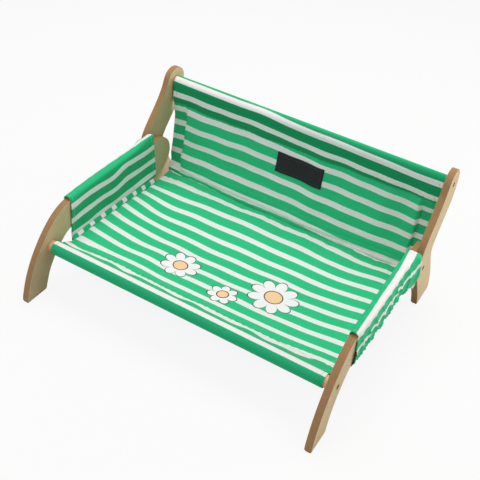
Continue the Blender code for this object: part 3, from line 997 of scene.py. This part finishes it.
sleeves, sleeve_grids, sleeve_flats = {}, {}, {}
for side, sign in SIDES:
    shape, flat = SLEEVES[side], flat_sleeves[side]
    along = measured(flat)
    points = folded(flat, -sign * sleeve_folds(flat, along, sign))
    pattern = sleeve_pattern(points, along, side)
    # Painted shade on the sleeve's green: a little all round, and most on the inner wall.
    backed_shade = 0.2 + 0.4 * step(along, 94, 80)
    name = f"arm_sleeve_cloth_{side}"
    sleeves[side] = cloth_piece(name, points, points[..., 1], pattern, canvas, backed_shade=backed_shade)
    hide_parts(f"arm_sleeve_{side}")
    sleeve_grids[side] = points
    sleeve_flats[side] = (max(shape["ends"]) - shape["start"], float(along[-1].mean()))
print("sleeve cloth in mm:", {side: [round(v) for v in flat] for side, flat in sleeve_flats.items()})


# %% [markdown]
# ## Woven label
# A folded-edge label of black satin weave is sewn to the backrest. It follows the panel's waves, so
# it is a small grid laid over the panel's own points.

# %% Label
def label_weave():
    made, tree, shader = new_material("Black satin label", 0.6, Sheen_Weight=0.05, Specular_IOR_Level=0.25)
    ribs = weave_parts(tree, rib=1.3)[2]
    paint(tree, shader, ribs, "#111113", "#232327")
    roughen(tree, shader, ribs, strength=0.35, depth=0.25)
    return made


# About the panel's own grid step, across and up.
STEP_ACROSS, STEP_UP = 3.2, 1.9


def back_surface(x, z, lift):
    """The backrest's front surface at a width and height, moved forwards by lift."""
    flat = back_points[BACK_ROWS].reshape(-1, 3)
    out = np.empty(x.shape)
    for i in np.ndindex(x.shape):
        near = np.abs(flat[:, 0] - x[i]) / STEP_ACROSS + np.abs(flat[:, 2] - z[i]) / STEP_UP
        best = np.argsort(near)[:6]
        weight = 1 / (near[best] + 0.05)
        out[i] = (flat[best, 1] * weight).sum() / weight.sum()
    return out - lift


LABEL_LOW, LABEL_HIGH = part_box("label")
label_x = np.linspace(LABEL_LOW.x / MM, LABEL_HIGH.x / MM, 40)
label_z = np.linspace(LABEL_LOW.z / MM, LABEL_HIGH.z / MM, 17)
grid_x, grid_z = np.meshgrid(label_x, label_z)
rim_x = np.minimum(grid_x - label_x[0], label_x[-1] - grid_x)
rim_z = np.minimum(grid_z - label_z[0], label_z[-1] - grid_z)
raised = 0.45 * step(np.minimum(rim_x, rim_z), 0.0, 2.6)
label_y = back_surface(grid_x, grid_z, CLOTH / 2 + 0.6) - raised
label_points = np.stack([grid_x, label_y, grid_z], axis=-1)
label = cloth_piece("woven_label", label_points, grid_x, grid_z, label_weave(), thickness=0.7)
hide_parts("label")
print("label", round(float(np.ptp(label_x))), "x", round(float(np.ptp(label_z))), "mm")


# %% [markdown]
# ## Stitches
# The seams are lockstitches in cotton thread. A Geometry Nodes tree spaces points evenly along a line,
# lays a small thread across each gap, and varies each one a little by a fixed seed. Real stitches
# are about 3 mm apart. Most are drawn 4.5 mm apart here, because finer ones would vanish.

# %% Stitch tree
def stitch_tree():
    sockets = {"Geometry": "Geometry", "Pitch": "Float", "Thread": "Float", "Length": "Float"}
    sockets |= {"Seed": "Int", "Material": "Material"}
    tree, given = node_group("Stitches", "GeometryNodeTree", sockets, "Geometry")
    line = add(tree, "GeometryNodeMeshToCurve", {"Mesh": given["Geometry"]})
    inputs = {"Curve": line.outputs[0], "Length": given["Pitch"]}
    spaced = add(tree, "GeometryNodeCurveToPoints", inputs, mode="LENGTH")
    inputs = {"Vector": spaced.outputs["Tangent"]}
    turn = add(tree, "FunctionNodeAlignRotationToVector", inputs, axis="X")
    size = add(tree, "ShaderNodeCombineXYZ", {0: given["Length"], 1: given["Thread"], 2: given["Thread"]})
    inputs = {"Seed": given["Seed"], 2: 0.82, 3: 1.08}
    vary = add(tree, "FunctionNodeRandomValue", inputs, data_type="FLOAT")
    inputs = {0: size.outputs[0], "Scale": vary.outputs[1]}
    scale = add(tree, "ShaderNodeVectorMath", inputs, operation="SCALE")
    bead = add(tree, "GeometryNodeMeshUVSphere", {"Segments": 8, "Rings": 5, "Radius": 0.5})
    smooth = add(tree, "GeometryNodeSetShadeSmooth", {"Geometry": bead.outputs[0]})
    inputs = {"Points": spaced.outputs["Points"], "Instance": smooth.outputs[0]}
    inputs |= {"Rotation": turn.outputs[0], "Scale": scale.outputs[0]}
    placed = add(tree, "GeometryNodeInstanceOnPoints", inputs)
    real = add(tree, "GeometryNodeRealizeInstances", {"Geometry": placed.outputs[0]})
    inputs = {"Geometry": real.outputs[0], "Material": given["Material"]}
    done = add(tree, "GeometryNodeSetMaterial", inputs)
    add(tree, "NodeGroupOutput", {0: done.outputs[0]})
    return tree


STITCHES = stitch_tree()
print("nodes in the stitch tree:", len(STITCHES.nodes))


# %% [markdown]
# ## Thread and sewing
# A seam starts as lines of points on a raised copy of the cloth's own grid, so it follows every
# fold. The node tree turns them into stitches, and these are kept as one plain mesh.

# %% Sewing
def thread_material(name, first, second):
    made, tree, shader = new_material(name, 0.7, Sheen_Weight=0.2)
    twist = noise(tree, object_place(tree), 1.2)
    paint(tree, shader, twist, first, second)
    return made


def sew(name, lines, material, pitch=4.5, thread=0.75, length=3.2, seed=3):
    """Stitches along lines of points, as one plain mesh."""
    source = bpy.data.meshes.new(name + "_lines")
    places, edges = [], []
    for line in lines:
        first = len(places)
        places += [(x * MM, (y + FRONT) * MM, z * MM) for x, y, z in line]
        edges += [(k, k + 1) for k in range(first, len(places) - 1)]
    source.from_pydata(places, edges, [])
    carrier = new_object(name + "_lines", source)
    nodes = carrier.modifiers.new("Stitches", "NODES")
    nodes.node_group = STITCHES
    values = {"Pitch": pitch * MM, "Thread": thread * MM, "Length": length * MM}
    values |= {"Seed": seed, "Material": material}
    for socket in STITCHES.interface.items_tree:
        if socket.in_out == "INPUT" and socket.name in values:
            nodes[socket.identifier] = values[socket.name]
    bpy.context.view_layer.update()
    mesh = bpy.data.meshes.new_from_object(carrier.evaluated_get(bpy.context.evaluated_depsgraph_get()))
    mesh.name = name
    made = new_object(name, mesh)
    bpy.data.objects.remove(carrier)
    return made


def lifted(points, height):
    """A copy of the grid, raised off the cloth."""
    return folded(points, np.full(points.shape[:2], height))


def across_line(points, along, value, rows, inset):
    """The line where a grid's own length reaches a value, from side to side."""
    line = []
    for k in range(inset, points.shape[1] - inset, 2):
        line.append([np.interp(value, along[rows, k], points[rows, k, axis]) for axis in range(3)])
    return line


ON_TOP = CLOTH / 2 + 0.15
pale_thread = thread_material("Pale green cotton thread", "#7FD6B2", "#A9E8CD")
black_thread = thread_material("Black cotton thread", "#26262A", "#3C3C42")
green_thread = thread_material("Mid green cotton thread", "#178F61", "#28AC79")
# The dark green thread is painted shade for the groove where the seat meets the sleeves.
seam_shade_thread = thread_material("Dark green seam shade thread", "#0A5236", "#116B49")
print("stitches lie", round(ON_TOP, 2), "mm above the middle of the cloth")


# %% [markdown]
# ## The seams
# The casings and hems are sewn in green, the sleeves in a paler green and the label in black. Dark
# stitches draw the shadowed line where the seat meets the sleeves.

# %% Seams
seat_top = lifted(seat_points, ON_TOP)
seat_line = across_line(seat_top, seat_along, CASING_LINE, CASING_ROWS, STRIP + 4)
casing_ends = slice(10, LEAVE_ROW + 14)
seat_ends = [seat_top[casing_ends, k].tolist() for k in (STRIP + 2, -STRIP - 3)]
seat_seam = sew("seat_stitches", [seat_line] + seat_ends, green_thread, thread=0.5, seed=3)
edge_depth = seat_points[:, STRIP, 1]
seam_rows = (edge_depth > 112) & (edge_depth < 356) & (np.arange(len(edge_depth)) > LEAVE_ROW)
side_lines = [seat_top[seam_rows, k].tolist() for k in (STRIP, -STRIP - 1)]
# A real seam line, drawn in thick, close dark stitches as painted shade of its groove.
side_seam_shade = sew("side_seam_shade_stitches", side_lines, seam_shade_thread, pitch=3.0, thread=1.3, length=3.1, seed=9)

back_front = lifted(back_points, ON_TOP)
back_line = across_line(back_front, back_along, BACK_SEWN, BACK_ROWS, 8)
hems = [back_front[BACK_START + 8 : BACK_TOP, k].tolist() for k in (5, -6)]
back_seam = sew("backrest_stitches", [back_line] + hems, green_thread, thread=0.6, seed=7)

sleeve_seams = {}
for side, sign in SIDES:
    outside = lifted(sleeve_grids[side], -sign * ON_TOP)
    ends = [outside[6:-12, k].tolist() for k in (3, -4)]
    hem_line = outside[-17, 3:-3].tolist()
    sleeve_seams[side] = sew(f"arm_sleeve_stitches_{side}", ends + [hem_line], pale_thread, seed=11 + sign)

label_top = lifted(label_points, CLOTH * 0.4)
corners = [(0.05, 0.1), (0.95, 0.1), (0.95, 0.9), (0.05, 0.9), (0.05, 0.1)]
border = []
for (a, b), (c, d) in zip(corners[:-1], corners[1:]):
    for t in np.linspace(0, 1, 20)[:-1]:
        u, v = (a + (c - a) * t) * (len(label_x) - 1), (b + (d - b) * t) * (len(label_z) - 1)
        border.append(label_top[int(round(v)), int(round(u))].tolist())
label_seam = sew("label_stitches", [border], black_thread, pitch=3.4, thread=0.6, length=2.4, seed=5)
stitches = (seat_seam, side_seam_shade, back_seam, label_seam)
print("stitch meshes:", [len(o.data.vertices) for o in stitches], "vertices")


# %% [markdown]
# ## Attach to one body
# Every piece rides on one body, because nothing moves.

# %% Attach to one body
for piece in (seat, back, label, *stitches, *sleeves.values(), *sleeve_seams.values()):
    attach(piece, "root")
